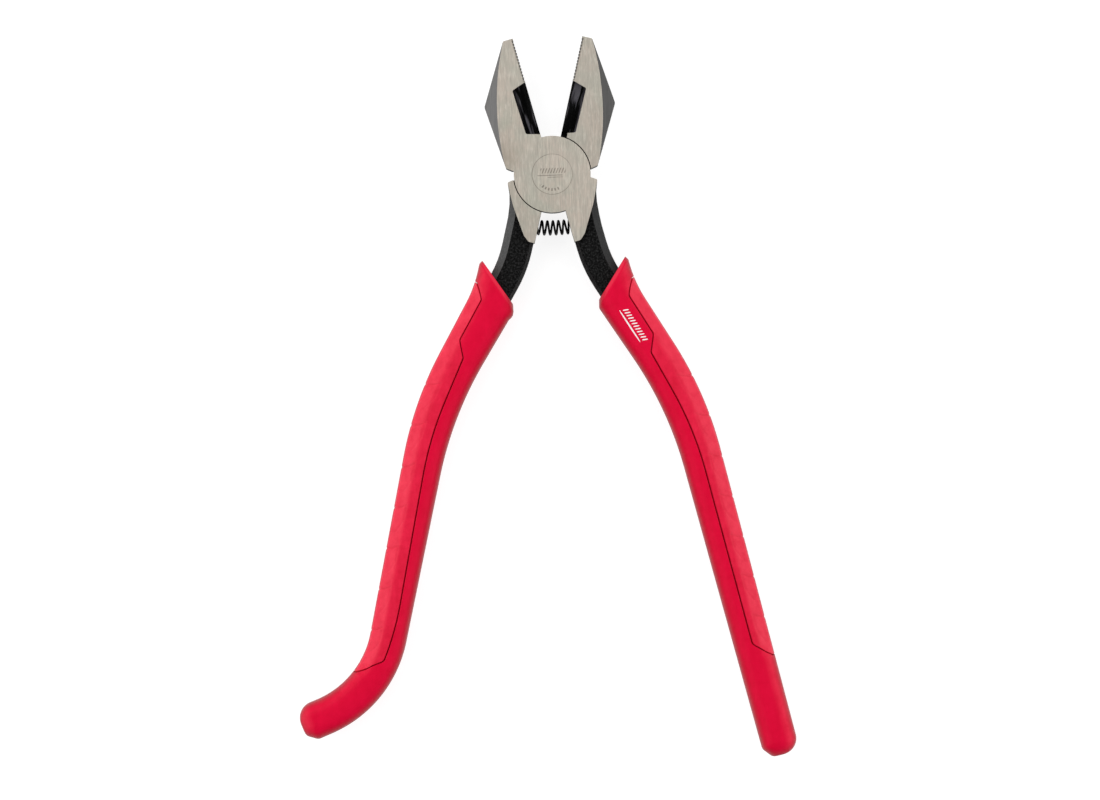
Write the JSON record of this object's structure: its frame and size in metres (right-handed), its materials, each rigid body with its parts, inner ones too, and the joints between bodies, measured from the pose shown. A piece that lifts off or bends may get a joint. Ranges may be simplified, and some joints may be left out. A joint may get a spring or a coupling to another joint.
{
  "type": "spring-loaded ironworker pliers",
  "caption": "Lineman-style ironworker pliers with a diamond nose, side cutters, a coil return spring, moulded two-part grips and a hook on one handle.",
  "frame": {"origin": "on the pivot axis, in the plane of the head's ground back face; the tool lies flat", "axes": "+Z along the pivot axis from the back face to the front face, +Y to the jaw tips along the line that halves the opening, +X to the side of the straight handle; at rest each half is turned 14.2 degrees from closed"},
  "size_m": [0.155, 0.2269, 0.018],
  "materials": {
    "forged_steel": "ground on the head, black oxide on the tang",
    "rivet_steel": "ground flush",
    "spring_steel": "black oxide",
    "grip_red": "satin moulded",
    "insert_red": "matte soft-touch"
  },
  "bodies": {
    "front_half_body": {"front_half": "forged_steel", "pivot_rivet": "rivet_steel", "return_spring": "spring_steel", "straight_grip_sleeve": "grip_red", "straight_grip_insert": "insert_red"},
    "rear_half_body": {"rear_half": "forged_steel", "hooked_grip_sleeve": "grip_red", "hooked_grip_insert": "insert_red"}
  },
  "joints": [
    {"name": "jaw_pivot", "type": "hinge", "parent": "front_half_body", "child": "rear_half_body", "pos_m": [0, 0, 0.008], "axis": [0, 0, 1], "range_deg": [-12, 28], "stiffness_Nm_per_rad": 0.87, "deforming": ["return_spring"]}
  ]
}
